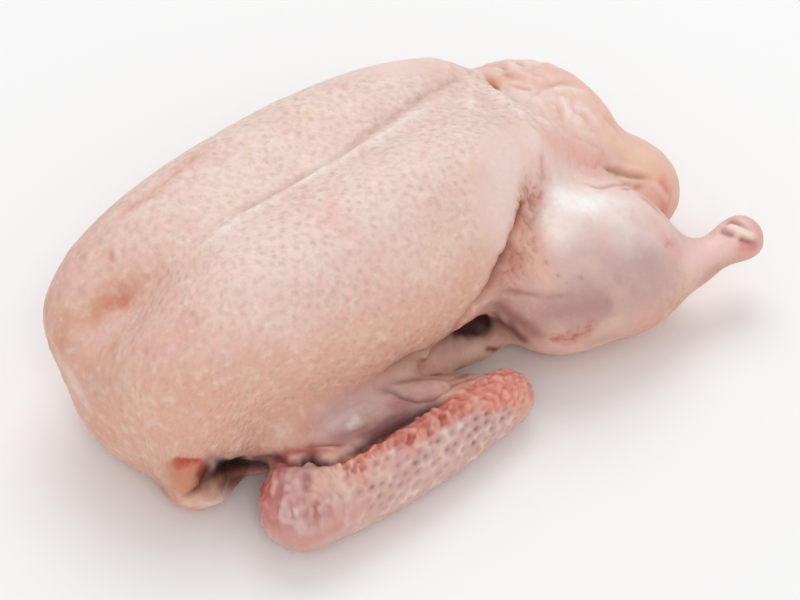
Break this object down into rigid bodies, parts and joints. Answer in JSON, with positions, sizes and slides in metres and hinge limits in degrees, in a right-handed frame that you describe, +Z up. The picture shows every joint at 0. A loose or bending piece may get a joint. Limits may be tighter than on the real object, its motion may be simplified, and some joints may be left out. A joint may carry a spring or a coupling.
{
  "type": "whole raw duck",
  "caption": "Whole raw duck ready for the oven, on its back with the breast up: full breast with a keel valley, folded wings, short cut legs and a fat tail.",
  "frame": {"origin": "middle of the bounding box in plan, on the table under the bird's back", "axes": "+X from the neck end to the tail, +Y to the bird's left side, +Z up through the breast"},
  "size_m": [0.317, 0.2132, 0.1122],
  "materials": {
    "skin": "moist satin"
  },
  "bodies": {
    "root": {"duck": "skin"}
  },
  "joints": []
}
